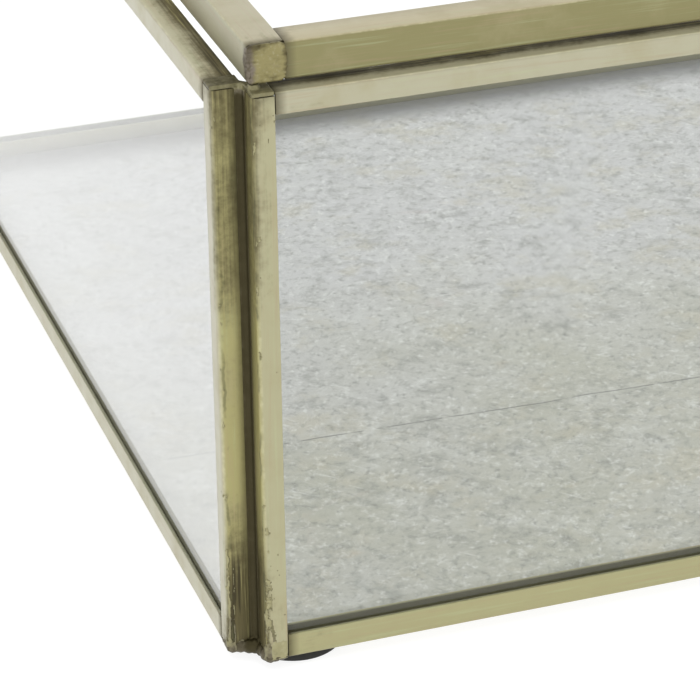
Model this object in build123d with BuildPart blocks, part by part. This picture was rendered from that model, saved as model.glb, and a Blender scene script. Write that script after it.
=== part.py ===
from build123d import *
import os
from math import cos, radians, sin

# A glass jewelry box. Four glass walls and a glass lid are each edged with U-shaped brass came,
# soldered at the corners, on a zinc sheet floor and four round feet. The lid swings on two small
# tube hinges along the back, whose stop wings hold it open.
# Frame: +X along the length, -Y is the front, +Z up, origin on the ground under the middle of the
# whole box, hinges included. Millimetres.

# Overall sizes
box_length = 250.0  # over the outer faces of the left and right walls
box_depth = 170.0  # over the outer faces of the front and back walls
wall_height = 78.65  # of a glazed wall, edge to edge
foot_thickness = 1.8
foot_diameter = 13.0
foot_inset_x = 6.0  # foot centre, in from the line where two walls meet, along the length
foot_inset_y = 3.6  # the same, along the depth
foot_chamfer = 0.3

# Wall glazing
glass_thickness = 2.9
glass_play = 0.05  # between the glass and each leg of its came
glass_margin = 0.3  # between the glass edge and the web of the came
came_wall = 0.5  # thickness of the strip brass
came_leg = 2.85  # how far the came laps over the glass
bottom_leg = 3.45  # the same on the bottom rails
came_bend = 0.6  # outside radius of the folded edges
came_width = glass_thickness + 2 * (glass_play + came_wall)

# Corner solder
seam_leg = 0.5  # legs of the concave bead in the outer corner
inner_seam_leg = 1.0  # and in the inner corner
bottom_cap = 0.6  # solder that closes the lower stile ends
top_cap = 0.4  # solder that closes the upper stile ends
cap_rise = 0.15  # how far it stands over the top rails
drop_radius = 0.8  # raised drop that the lid corner comes down on
drop_taper = 20.0  # degrees

# Floor
floor_thickness = 1.0
floor_corner_gap = 0.2  # between the clipped floor corner and the inner bead

# Lid
lid_glass_thickness = 3.8
lid_leg = 4.6
lid_gap = 0.8  # height of the slit between walls and lid
lid_rest_play = 0.1  # between the lid and the drops that it comes down on
lid_set_back = 1.4  # lid front behind the front wall's face
lid_end_gap = 0.0  # lid ends inside the side walls' inner faces
lid_cap = 0.5  # solder that closes the side rails' ends
lid_height = lid_glass_thickness + 2 * (glass_play + came_wall)

# Hinges
pin_diameter = 2.0
running_clearance = 0.05  # radial, pin to tube
tube_wall = 0.95
lid_tube_length = 10.0
base_tube_length = 8.0
tube_end_gap = 0.3
pin_head_height = 0.6
pin_head_lap = 0.5  # head radius over pin radius
hinge_inset = 45.0  # middle of each hinge, in from the side walls' outer faces
swing_clearance = 0.3  # between the tubes and the face that swings past them
foot_drop = 2.8  # solder foot of a tube reaches this far from the hinge axis
open_angle = 110.0
stop_play = 0.05  # between the open lid and the stop wings
stop_length = 3.5
stop_thickness = 0.9

# Places that follow from the sizes above
tube_radius = pin_diameter / 2 + running_clearance + tube_wall
axis_set_off = tube_radius + swing_clearance
stop_run = (sin(radians(open_angle)), cos(radians(open_angle)))  # (back, up) along the open lid's edge
stop_rise = (-cos(radians(open_angle)), sin(radians(open_angle)))  # (back, up) square to it
stop_top = axis_set_off - stop_play
hinge_reach = axis_set_off + stop_run[0] * stop_length + stop_rise[0] * stop_top
front_face = -(box_depth + hinge_reach) / 2
back_face = front_face + box_depth
left_face = -box_length / 2
right_face = box_length / 2
wall_base = foot_thickness
wall_top = wall_base + wall_height
lid_base = wall_top + lid_gap
hinge_y = back_face + axis_set_off
hinge_z = wall_top + lid_gap / 2
wall_length = {
    "front": box_length - 2 * came_width,
    "right": box_depth - 2 * came_width,
    "back": box_length - 2 * came_width,
    "left": box_depth - 2 * came_width,
}

# Each wall's frame stands at its lower left outer corner, seen from outside: X runs along the wall,
# Y goes into the box and Z is up. Side walls stand between the planes of the front and back walls'
# inner faces, so that the walls meet only along their inner corner lines.
wall_frame = {
    "front": Plane((left_face + came_width, front_face, wall_base), x_dir=(1, 0, 0), z_dir=(0, 0, 1)),
    "right": Plane((right_face, front_face + came_width, wall_base), x_dir=(0, 1, 0), z_dir=(0, 0, 1)),
    "back": Plane((right_face - came_width, back_face, wall_base), x_dir=(-1, 0, 0), z_dir=(0, 0, 1)),
    "left": Plane((left_face, back_face - came_width, wall_base), x_dir=(0, -1, 0), z_dir=(0, 0, 1)),
}

# Each corner's frame stands on the line where two walls meet, with the open notch outside it in the
# quadrant between its X and Y.
corner_frame = {
    "front_left": Plane(
        (left_face + came_width, front_face + came_width, wall_base), x_dir=(-1, 0, 0), z_dir=(0, 0, 1)
    ),
    "front_right": Plane(
        (right_face - came_width, front_face + came_width, wall_base), x_dir=(0, -1, 0), z_dir=(0, 0, 1)
    ),
    "back_right": Plane(
        (right_face - came_width, back_face - came_width, wall_base), x_dir=(1, 0, 0), z_dir=(0, 0, 1)
    ),
    "back_left": Plane(
        (left_face + came_width, back_face - came_width, wall_base), x_dir=(0, 1, 0), z_dir=(0, 0, 1)
    ),
}


def in_corner_frame(corner, along_length, along_depth):
    """A distance along the box's length and one along its depth, as the corner frame's X and Y."""
    swapped = corner in ("front_right", "back_left")
    return (along_depth, along_length) if swapped else (along_length, along_depth)


def save(piece, name):
    """Labels a finished piece and writes its STEP file."""
    piece.part.label = name
    export_step(piece.part, f"parts/{name}.step")


def came(place, run, width, leg):
    """A length of U-shaped strip brass: its web lies along X at Y = 0 of the plane, its legs stand
    along Y, and it runs along Z."""
    with BuildPart() as strip:
        with BuildSketch(place):
            with BuildLine():
                Polyline(
                    (0, 0),
                    (width, 0),
                    (width, leg),
                    (width - came_wall, leg),
                    (width - came_wall, came_wall),
                    (came_wall, came_wall),
                    (came_wall, leg),
                    (0, leg),
                    close=True,
                )
            face = make_face()
            fillet(face.vertices().group_by(Axis.Y)[0], came_bend)
        extrude(amount=run)
    return strip


def wall_came(frame, corner, run_direction, run, leg):
    """Came of a wall, from a corner given in the wall's frame, with its web on the wall's edge."""
    place = Plane(frame.from_local_coords(corner), x_dir=frame.y_dir, z_dir=run_direction)
    return came(place, run, came_width, leg)


def build_wall(side):
    """One glazed wall: full-height stiles at both ends, the rails between them, and the pane."""
    frame = wall_frame[side]
    length = wall_length[side]
    stile_run = wall_height - bottom_cap - top_cap
    rail_run = length - 2 * came_leg
    up = frame.z_dir
    along = frame.x_dir

    left_stile = wall_came(frame, (0, 0, wall_height - top_cap), -up, stile_run, came_leg)
    save(left_stile, f"{side}_left_stile")
    right_stile = wall_came(frame, (length, 0, bottom_cap), up, stile_run, came_leg)
    save(right_stile, f"{side}_right_stile")
    bottom_rail = wall_came(frame, (came_leg, 0, 0), along, rail_run, bottom_leg)
    save(bottom_rail, f"{side}_bottom_rail")
    top_rail = wall_came(frame, (length - came_leg, 0, wall_height), -along, rail_run, came_leg)
    save(top_rail, f"{side}_top_rail")

    # The pane stands on the bottom rail's web or on the caps of the stile ends, whichever is
    # higher, and keeps its margin at the other three edges.
    pane_foot = max(came_wall, bottom_cap)
    pane_top = wall_height - max(came_wall, top_cap) - glass_margin
    with BuildPart() as pane:
        with BuildSketch(frame.offset(pane_foot)):
            with Locations((length / 2, came_width / 2)):
                Rectangle(length - 2 * (came_wall + glass_margin), glass_thickness)
        extrude(amount=pane_top - pane_foot)
    save(pane, f"{side}_glass")


def seam_profile():
    """The bead between two stiles: a concave fillet in the notch outside, a smaller one inside, and
    the solder that fills the waist between the two folded edges."""
    for leg, side in ((seam_leg, 1), (inner_seam_leg, -1)):
        corner = side * leg
        middle = side * leg * (1 - cos(radians(45)))
        with BuildLine() as outline:
            ThreePointArc((corner, 0), (middle, middle), (0, corner))
            Line((0, corner), (0, 0))
            Line((0, 0), (corner, 0))
        make_face(outline.edges())
    with Locations((-came_bend / 2, came_bend / 2), (came_bend / 2, -came_bend / 2)):
        Rectangle(came_bend, came_bend)
    with Locations((-came_width / 2, came_width / 2), (came_width / 2, -came_width / 2)):
        RectangleRounded(came_width, came_width, came_bend, mode=Mode.SUBTRACT)


def cap_profile():
    """The solder over the ends of the two stiles at a corner, out to their faces, and over the
    bead on both sides of the line where they meet."""
    with Locations((-came_leg / 2, came_width / 2)):
        Rectangle(came_leg, came_width)
    with Locations((came_width / 2, -came_leg / 2)):
        Rectangle(came_width, came_leg)
    Polygon((0, 0), (seam_leg, 0), (0, seam_leg), align=None)
    Polygon((0, 0), (-inner_seam_leg, 0), (0, -inner_seam_leg), align=None)


def build_corner(corner):
    """The solder of one corner: a bead down the notch, and a cap over the stile ends at the top and
    at the bottom. A small drop on the top cap carries the closed lid's corner."""
    frame = corner_frame[corner]
    bead_run = wall_height - bottom_cap - top_cap
    drop_height = lid_gap - cap_rise - lid_rest_play
    drop_place = in_corner_frame(corner, -drop_radius, came_width / 2)
    with BuildPart() as solder:
        with BuildSketch(frame.offset(bottom_cap)):
            seam_profile()
        extrude(amount=bead_run)
        with BuildSketch(frame):
            cap_profile()
        extrude(amount=bottom_cap)
        with BuildSketch(frame.offset(wall_height - top_cap)):
            cap_profile()
        extrude(amount=top_cap + cap_rise)
        with BuildSketch(frame.offset(wall_height + cap_rise)):
            with Locations(drop_place):
                Circle(drop_radius)
        extrude(amount=drop_height, taper=drop_taper)
    save(solder, f"corner_solder_{corner}")


def build_floor():
    """Zinc sheet between the four walls, level with their lower edges. Its corners are clipped
    round the inner beads."""
    clip = inner_seam_leg + floor_corner_gap
    with BuildPart() as sheet:
        with BuildSketch(Plane((0, front_face + box_depth / 2, wall_base))):
            outline = Rectangle(box_length - 2 * came_width, box_depth - 2 * came_width)
            chamfer(outline.vertices(), clip)
        extrude(amount=floor_thickness)
    save(sheet, "zinc_floor")


def build_foot(corner):
    """A round rubber pad stuck under the floor and the bottom rails at a corner."""
    inset = in_corner_frame(corner, -foot_inset_x, -foot_inset_y)
    middle = corner_frame[corner].from_local_coords((*inset, -foot_thickness))
    with BuildPart() as pad:
        with BuildSketch(Plane(middle)):
            Circle(foot_diameter / 2)
        extrude(amount=foot_thickness)
        chamfer(pad.edges().sort_by(Axis.Z)[0], foot_chamfer)
    save(pad, f"foot_{corner}")


def build_lid():
    """The lid: side rails run through from front to back, the front and back rails butt between
    them, and solder closes the side rails' ends."""
    lid_left = left_face + came_width + lid_end_gap
    lid_right = right_face - came_width - lid_end_gap
    lid_front = front_face + lid_set_back
    lid_back = back_face
    cross_run = lid_right - lid_left - 2 * lid_leg
    side_run = lid_back - lid_front - 2 * lid_cap
    up = (0, 0, 1)

    rail_starts = {
        "lid_left_rail": ((lid_left, lid_front + lid_cap, lid_base), (0, 1, 0), side_run),
        "lid_right_rail": ((lid_right, lid_back - lid_cap, lid_base), (0, -1, 0), side_run),
        "lid_front_rail": ((lid_right - lid_leg, lid_front, lid_base), (-1, 0, 0), cross_run),
        "lid_back_rail": ((lid_left + lid_leg, lid_back, lid_base), (1, 0, 0), cross_run),
    }
    for name, (start, direction, run) in rail_starts.items():
        rail = came(Plane(start, x_dir=up, z_dir=direction), run, lid_height, lid_leg)
        save(rail, name)

    edge = max(came_wall, lid_cap) + glass_margin
    middle = ((lid_left + lid_right) / 2, (lid_front + lid_back) / 2, lid_base + came_wall + glass_play)
    with BuildPart() as pane:
        with BuildSketch(Plane(middle)):
            Rectangle(lid_right - lid_left - 2 * edge, lid_back - lid_front - 2 * edge)
        extrude(amount=lid_glass_thickness)
    save(pane, "lid_glass")

    cap_starts = {
        "lid_solder_front_left": (lid_left + lid_leg / 2, lid_front),
        "lid_solder_front_right": (lid_right - lid_leg / 2, lid_front),
        "lid_solder_back_left": (lid_left + lid_leg / 2, lid_back - lid_cap),
        "lid_solder_back_right": (lid_right - lid_leg / 2, lid_back - lid_cap),
    }
    for name, (middle_x, start_y) in cap_starts.items():
        place = Plane((middle_x, start_y, lid_base + lid_height / 2), x_dir=(1, 0, 0), z_dir=(0, 1, 0))
        with BuildPart() as cap:
            with BuildSketch(place):
                RectangleRounded(lid_leg, lid_height, came_bend)
            extrude(amount=lid_cap)
        save(cap, name)


def hinge_section(start_x):
    """The plane square to the hinge axis at start_x: X goes to the back and Y is up."""
    return Plane((start_x, hinge_y, hinge_z), x_dir=(0, 1, 0), z_dir=(1, 0, 0))


def tube_profile(hand):
    """A hinge tube with the solder foot that joins it to the wall below (hand -1) or to the lid
    above (hand 1)."""
    foot_near = lid_gap / 2 + came_bend
    Circle(tube_radius)
    with BuildLine() as outline:
        Polyline(
            (-axis_set_off, hand * foot_near),
            (-axis_set_off, hand * foot_drop),
            (0, hand * tube_radius),
            (0, hand * foot_near),
            close=True,
        )
    make_face(outline.edges())


def stop_profile():
    """A wing behind a base tube, whose upper face the open lid's back edge comes to lie on."""

    def corner(run, rise):
        return (
            stop_run[0] * run + stop_rise[0] * rise,
            stop_run[1] * run + stop_rise[1] * rise,
        )

    with BuildLine() as outline:
        Polyline(
            corner(0, stop_top - stop_thickness),
            corner(stop_length, stop_top - stop_thickness),
            corner(stop_length, stop_top),
            corner(0, stop_top),
            close=True,
        )
    make_face(outline.edges())


def build_hinge(side, middle_x, outward):
    """One tube hinge: two tubes on the back wall, one on the lid between them, and the pin."""
    bore = pin_diameter / 2 + running_clearance
    step = lid_tube_length / 2 + tube_end_gap
    base_starts = {
        "outer": middle_x + (step if outward > 0 else -step - base_tube_length),
        "inner": middle_x + (-step - base_tube_length if outward > 0 else step),
    }
    for place, start_x in base_starts.items():
        with BuildPart() as tube:
            with BuildSketch(hinge_section(start_x)):
                tube_profile(-1)
                stop_profile()
                Circle(bore, mode=Mode.SUBTRACT)
            extrude(amount=base_tube_length)
        save(tube, f"hinge_{side}_{place}_tube")

    with BuildPart() as lid_tube:
        with BuildSketch(hinge_section(middle_x - lid_tube_length / 2)):
            tube_profile(1)
            Circle(bore, mode=Mode.SUBTRACT)
        extrude(amount=lid_tube_length)
    save(lid_tube, f"hinge_{side}_lid_tube")

    half_pin = step + base_tube_length
    head_radius = pin_diameter / 2 + pin_head_lap
    with BuildPart() as pin:
        with BuildSketch(hinge_section(middle_x - half_pin)):
            Circle(pin_diameter / 2)
        extrude(amount=2 * half_pin)
        for head_start in (middle_x - half_pin - pin_head_height, middle_x + half_pin):
            with BuildSketch(hinge_section(head_start)):
                Circle(head_radius)
            extrude(amount=pin_head_height)
    save(pin, f"hinge_{side}_pin")


os.makedirs("parts", exist_ok=True)
for side in wall_frame:
    build_wall(side)
for corner in corner_frame:
    build_corner(corner)
    build_foot(corner)
build_floor()
build_lid()
build_hinge("left", left_face + hinge_inset, -1)
build_hinge("right", right_face - hinge_inset, 1)
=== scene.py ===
import math

import bmesh
import bpy
import numpy as np
from mathutils import Matrix, Vector, noise


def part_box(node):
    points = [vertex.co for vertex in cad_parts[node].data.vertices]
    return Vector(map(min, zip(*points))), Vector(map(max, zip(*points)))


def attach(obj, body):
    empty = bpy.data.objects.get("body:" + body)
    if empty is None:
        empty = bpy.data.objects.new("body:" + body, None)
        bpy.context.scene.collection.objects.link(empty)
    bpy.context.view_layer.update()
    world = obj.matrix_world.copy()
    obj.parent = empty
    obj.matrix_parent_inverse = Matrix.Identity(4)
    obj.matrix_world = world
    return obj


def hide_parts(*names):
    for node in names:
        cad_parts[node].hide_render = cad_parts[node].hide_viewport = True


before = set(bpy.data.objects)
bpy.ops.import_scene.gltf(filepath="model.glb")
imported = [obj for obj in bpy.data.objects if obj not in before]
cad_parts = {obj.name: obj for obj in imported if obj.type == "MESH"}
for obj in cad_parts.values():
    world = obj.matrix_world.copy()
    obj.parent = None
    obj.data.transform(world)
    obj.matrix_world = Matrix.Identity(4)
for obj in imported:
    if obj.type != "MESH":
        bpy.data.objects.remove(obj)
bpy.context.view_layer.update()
MM = 0.001

# ---------------------------------------------------------------------------------------------
# Wall came
# Each glass wall is edged with strip brass folded to a U: two full-height stiles with a rail
# butted between them at the top and at the bottom. The strip is folded by hand on a bench
# former, so its faces ripple a little, and it dulls to olive where the flux and heat reached it.
# ---------------------------------------------------------------------------------------------


def linear(hex_colour):
    """An sRGB hex colour as the linear colour that a socket takes."""
    channels = [int(hex_colour[i : i + 2], 16) / 255 for i in (1, 3, 5)]
    return tuple(c / 12.92 if c <= 0.04045 else ((c + 0.055) / 1.055) ** 2.4 for c in channels) + (1.0,)


def add(tree, kind, settings=None, inputs=None):
    """Adds a node to a tree, with its settings, and its inputs filled or linked. A node given as an
    input stands for its first output in use."""
    node = tree.nodes.new(kind)
    for key, value in (settings or {}).items():
        setattr(node, key, value)
    for key, value in (inputs or {}).items():
        if isinstance(value, bpy.types.Node):
            value = next(socket for socket in value.outputs if socket.enabled)
        if isinstance(value, bpy.types.NodeSocket):
            tree.links.new(value, node.inputs[key])
        else:
            node.inputs[key].default_value = value
    return node


def new_material(name):
    """An empty material and its tree."""
    material = bpy.data.materials.new(name)
    material.use_nodes = True
    material.node_tree.nodes.clear()
    return material, material.node_tree


# The nodes that the finishes use most, each with its settings.
NOISE = ("ShaderNodeTexNoise", {})
RANGE = ("ShaderNodeMapRange", {})
EASE = ("ShaderNodeMapRange", {"interpolation_type": "SMOOTHSTEP"})
OVER = ("ShaderNodeMix", {"data_type": "RGBA"})
PLUS, TIMES, TIMES_PLUS, GREATER, SIZE_OF = (
    ("ShaderNodeMath", {"operation": way})
    for way in ("ADD", "MULTIPLY", "MULTIPLY_ADD", "MAXIMUM", "ABSOLUTE")
)
SURFACE = ("ShaderNodeBsdfPrincipled", {})


def strip_brass(name, face, web):
    """Folded strip brass. The outer faces were cleaned by wiping after soldering and keep fine draw
    lines, the web is dulled to olive, the folds are rubbed light under a painted highlight, old flux
    has burnt it brown towards the corner seams, darkened further there by painted shade of the
    notch, the inside of the fold is dark both as uncleaned brass and as painted shade, and a painted
    sheen makes faces that face the sides paler."""
    material, tree = new_material(name)
    strip = add(tree, "ShaderNodeAttribute", {"attribute_name": "strip"}).outputs["Vector"]
    place = add(tree, "ShaderNodeTexCoord").outputs["Object"]
    on = {
        label: add(tree, "ShaderNodeAttribute", {"attribute_name": label}).outputs["Fac"]
        for label in ("web", "fold", "cut", "tarnish", "reach", "inside", "painted_sheen")
    }

    # Clouds of tone about 6 mm wide, specks of about 1 mm, and draw lines about 0.3 mm wide.
    drawn = add(tree, "ShaderNodeMapping", {}, {"Vector": strip, "Scale": (1.0, 1.0, 0.03)})
    clouds, specks, lines = (
        add(tree, *NOISE, {"Vector": vector, "Scale": scale, "Detail": detail, "Roughness": rough})
        for vector, scale, detail, rough in (
            (place, 160.0, 5.0, 0.6),
            (place, 950.0, 4.0, 0.65),
            (drawn, 1900.0, 3.0, 0.6),
        )
    )
    # Rubbed wear on the folds, which also stands in as a painted highlight along them.
    rubbed = add(tree, *TIMES, {0: on["fold"], 1: specks})
    colour = add(tree, *OVER, {0: on["web"], 6: linear(face), 7: linear(web)})
    # Painted sheen: brass that faces the sides is painted paler, for the way light falls on it.
    colour = add(tree, *OVER, {0: on["painted_sheen"], 6: colour, 7: linear("#b7b4a2")})
    # Draw lines carry a faint green on one side and a faint rose on the other.
    for tint, pattern, low, high, top in (
        ("#a89f7c", clouds, 0.45, 0.72, 0.35),
        ("#b3bd95", lines, 0.54, 0.72, 0.25),
        ("#a78f76", lines, 0.46, 0.28, 0.3),
        ("#d9d5ae", rubbed, 0.36, 0.66, 0.3),
    ):
        amount = add(tree, *EASE, {0: pattern, 1: low, 2: high, 4: top})
        colour = add(tree, *OVER, {0: amount, 6: colour, 7: linear(tint)})
    # Burnt flux, ragged at its edge, and only where the tarnish reaches.
    burnt = on["tarnish"]
    for pattern, weight, lift in ((lines, 0.7, -0.65), (specks, 0.6, 0.0), (clouds, 0.8, -0.4)):
        spread = add(tree, *TIMES_PLUS, {0: pattern, 1: weight, 2: lift})
        burnt = add(tree, *PLUS, {0: burnt, 1: spread})
    burnt = add(tree, *EASE, {0: burnt, 1: 0.1, 2: 0.85, 4: 0.95})
    touched = add(tree, *EASE, {0: on["tarnish"], 1: 0.0, 2: 0.12})
    burnt = add(tree, *TIMES, {0: burnt, 1: touched})
    colour = add(tree, *OVER, {0: burnt, 6: colour, 7: linear("#5c5435")})
    # Where it is burnt through, black runs and rubbed ridges stand side by side along the strip.
    deep = add(tree, *EASE, {0: on["tarnish"], 1: 0.45, 2: 0.8})
    for tint, low, high in (("#332d18", 0.51, 0.62), ("#a69f6c", 0.45, 0.35)):
        streaks = add(tree, *EASE, {0: lines, 1: low, 2: high, 4: 0.75})
        amount = add(tree, *TIMES, {0: deep, 1: streaks})
        colour = add(tree, *OVER, {0: amount, 6: colour, 7: linear(tint)})
    # The seam side of the web darkens smoothly to black-brown over about 2.5 mm: flux stain, with painted
    # shade of the corner notch over it.
    near = add(tree, *TIMES_PLUS, {0: specks, 1: 0.6 * MM, 2: on["reach"]})
    near = add(tree, *EASE, {0: near, 1: 2.4 * MM, 2: 0.3 * MM})
    on_web = add(tree, *EASE, {0: on["web"], 1: 0.2, 2: 0.6})
    seam_flux_and_shade = add(tree, *TIMES, {0: near, 1: on_web})
    # A thin wavy green-black line where the solder film on the outer fold stops, 3.35 mm out.
    run = add(tree, "ShaderNodeSeparateXYZ", {}, {0: strip}).outputs[2]
    along = {"W": run, "Scale": 260.0, "Detail": 3.0}
    wave = add(tree, "ShaderNodeTexNoise", {"noise_dimensions": "1D"}, along)
    wave = add(tree, *TIMES_PLUS, {0: wave, 1: 1.2 * MM, 2: -(0.6 + 3.35) * MM})
    film = add(tree, *PLUS, {0: on["reach"], 1: wave})
    film = add(tree, *SIZE_OF, {0: film})
    film = add(tree, *EASE, {0: film, 1: 0.28 * MM, 2: 0.08 * MM, 4: 0.5})
    broken = add(tree, *EASE, {0: clouds, 1: 0.46, 2: 0.58})
    film = add(tree, *TIMES, {0: film, 1: broken})
    # Then the inside of the fold, dark both as uncleaned brass and as painted shade, and the sawn ends.
    for tint, pattern, share in (
        ("#3a3519", seam_flux_and_shade, 0.93),
        ("#4f5236", film, on["web"]),
        ("#66644d", on["inside"], 0.9),
        ("#4d4630", on["cut"], 1.0),
    ):
        amount = add(tree, *TIMES, {0: pattern, 1: share})
        colour = add(tree, *OVER, {0: amount, 6: colour, 7: linear(tint)})

    dull = add(tree, *GREATER, {0: burnt, 1: seam_flux_and_shade})
    dull = add(tree, *GREATER, {0: dull, 1: on["inside"]})
    rough = add(tree, *RANGE, {0: clouds, 1: 0.3, 2: 0.7, 3: 0.3, 4: 0.44})
    rough = add(tree, *TIMES_PLUS, {0: dull, 1: 0.2, 2: rough})
    dulled = add(tree, *GREATER, {0: dull, 1: on["web"]})
    metal = add(tree, *TIMES_PLUS, {0: dulled, 1: -0.4, 2: 0.92})
    height = add(tree, *TIMES_PLUS, {0: specks, 1: 0.8, 2: lines})
    bump = add(tree, "ShaderNodeBump", {}, {"Height": height, "Strength": 0.3, "Distance": 0.04 * MM})
    shader = {"Base Color": colour, "Metallic": metal, "Roughness": rough, "Normal": bump}
    add(tree, "ShaderNodeOutputMaterial", {}, {"Surface": add(tree, *SURFACE, shader)})
    return material


wall_brass = strip_brass("folded strip brass, wiped on the faces", "#a6a27b", "#a39d6b")

# The strip's rule: a U of three straight runs with two round folds, swept along a line.
STRIP_SIZES = ("Run", "Width", "Leg", "Fold", "Ripple", "Seed")


def strip_tree():
    """Geometry nodes for a folded strip: web on X at Y = 0, legs up Y, running along Z."""
    tree = bpy.data.node_groups.new("folded strip", "GeometryNodeTree")
    tree.interface.new_socket("Geometry", in_out="INPUT", socket_type="NodeSocketGeometry")
    for name in STRIP_SIZES:
        tree.interface.new_socket(name, in_out="INPUT", socket_type="NodeSocketFloat")
    tree.interface.new_socket("Brass", in_out="INPUT", socket_type="NodeSocketMaterial")
    tree.interface.new_socket("Geometry", in_out="OUTPUT", socket_type="NodeSocketGeometry")
    given = add(tree, "NodeGroupInput").outputs

    far = add(tree, "ShaderNodeCombineXYZ", {}, {"Z": given["Run"]})
    line = add(tree, "GeometryNodeCurvePrimitiveLine", {}, {"End": far})
    pitch = {"Curve": line, "Length": 1.5 * MM}
    path = add(tree, "GeometryNodeResampleCurve", {"mode": "LENGTH"}, pitch)
    width, leg = given["Width"], given["Leg"]
    corners = {"Point 2": (0, 0, 0)}
    for number, place in ((1, {"Y": leg}), (3, {"X": width}), (4, {"X": width, "Y": leg})):
        corners[f"Point {number}"] = add(tree, "ShaderNodeCombineXYZ", {}, place)
    outline = add(tree, "GeometryNodeCurvePrimitiveQuadrilateral", {"mode": "POINTS"}, corners)
    opened = add(tree, "GeometryNodeSetSplineCyclic", {}, {"Geometry": outline, "Cyclic": False})
    rounding = {"Curve": opened, "Count": 7, "Radius": given["Fold"]}
    folded = add(tree, "GeometryNodeFilletCurve", {"mode": "POLY"}, rounding)
    sheet = add(tree, "GeometryNodeCurveToMesh", {}, {"Curve": path, "Profile Curve": folded})

    where = add(tree, "GeometryNodeInputPosition")
    moved = add(tree, "ShaderNodeCombineXYZ", {}, {axis: given["Seed"] for axis in "XYZ"})
    looked = add(tree, "ShaderNodeVectorMath", {"operation": "ADD"}, {0: where, 1: moved})
    wander = add(tree, *NOISE, {"Vector": looked, "Scale": 110.0, "Detail": 2.0}).outputs["Color"]
    centred = add(tree, "ShaderNodeVectorMath", {"operation": "SUBTRACT"}, {0: wander, 1: (0.5, 0.5, 0.5)})
    reach = {0: centred, "Scale": given["Ripple"]}
    shift = add(tree, "ShaderNodeVectorMath", {"operation": "SCALE"}, reach)
    rippled = add(tree, "GeometryNodeSetPosition", {}, {"Geometry": sheet, "Offset": shift})
    real = add(tree, "GeometryNodeRealizeInstances", {}, {"Geometry": rippled})
    dressed = add(tree, "GeometryNodeSetMaterial", {}, {"Geometry": real, "Material": given["Brass"]})
    add(tree, "NodeGroupOutput", {}, {"Geometry": dressed})
    return tree


def finished(name, mesh, modifiers, values=None):
    """The plain mesh that some modifiers make of a mesh. Each is given as a type and its settings,
    and values are the named inputs of a geometry tree."""
    carrier = bpy.data.objects.new(name, mesh)
    bpy.context.scene.collection.objects.link(carrier)
    for kind, settings in modifiers:
        extra = carrier.modifiers.new(kind.lower(), kind)
        for key, value in settings.items():
            setattr(extra, key, value)
        if kind == "NODES":
            for item in extra.node_group.interface.items_tree:
                if item.in_out == "INPUT" and item.name in values:
                    extra[item.identifier] = values[item.name]
    bpy.context.view_layer.update()
    graph = bpy.context.evaluated_depsgraph_get()
    made = bpy.data.meshes.new_from_object(carrier.evaluated_get(graph))
    bpy.data.objects.remove(carrier)
    bpy.data.meshes.remove(mesh)
    made.name = name
    return made


def coords(mesh):
    """A mesh's points as an array."""
    points = np.empty(len(mesh.vertices) * 3, np.float32)
    mesh.vertices.foreach_get("co", points)
    return points.reshape(-1, 3)


def mark(mesh, labels):
    """Writes labelled numbers onto a mesh's points, for its finish to follow."""
    for label, values in labels.items():
        layer = mesh.attributes.new(label, "FLOAT", "POINT")
        layer.data.foreach_set("value", values.astype(np.float32))


def smooth(mesh, sharp_over=None):
    """Shades a mesh smooth, but for edges sharper than an angle in degrees."""
    mesh.polygons.foreach_set("use_smooth", [True] * len(mesh.polygons))
    if sharp_over:
        mesh.set_sharp_from_angle(angle=math.radians(sharp_over))


def show(name, mesh, body, nodes):
    """Links a finished mesh as a piece that rides a body and stands for its CAD nodes."""
    piece = bpy.data.objects.new(name, mesh)
    bpy.context.scene.collection.objects.link(piece)
    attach(piece, body)
    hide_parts(*nodes)
    return piece


folded_strip = strip_tree()
STRIP_WALL = 0.45 * MM
STRIP_INSET = 0.03 * MM  # room for the ripple and for the solder that stands on the faces
STRIP_RIPPLE = 0.06 * MM
STRIP_FINISHING = [
    ("NODES", {"node_group": folded_strip}),
    ("SOLIDIFY", {"thickness": STRIP_WALL, "offset": -1.0, "use_even_offset": True}),
    (
        "BEVEL",
        {"width": 0.07 * MM, "segments": 2, "limit_method": "ANGLE", "angle_limit": math.radians(55)},
    ),
]
STILE_GAP = 0.04 * MM  # open seam between a stile's end and the solder over it
LID_GAP = 0.05 * MM


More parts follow.
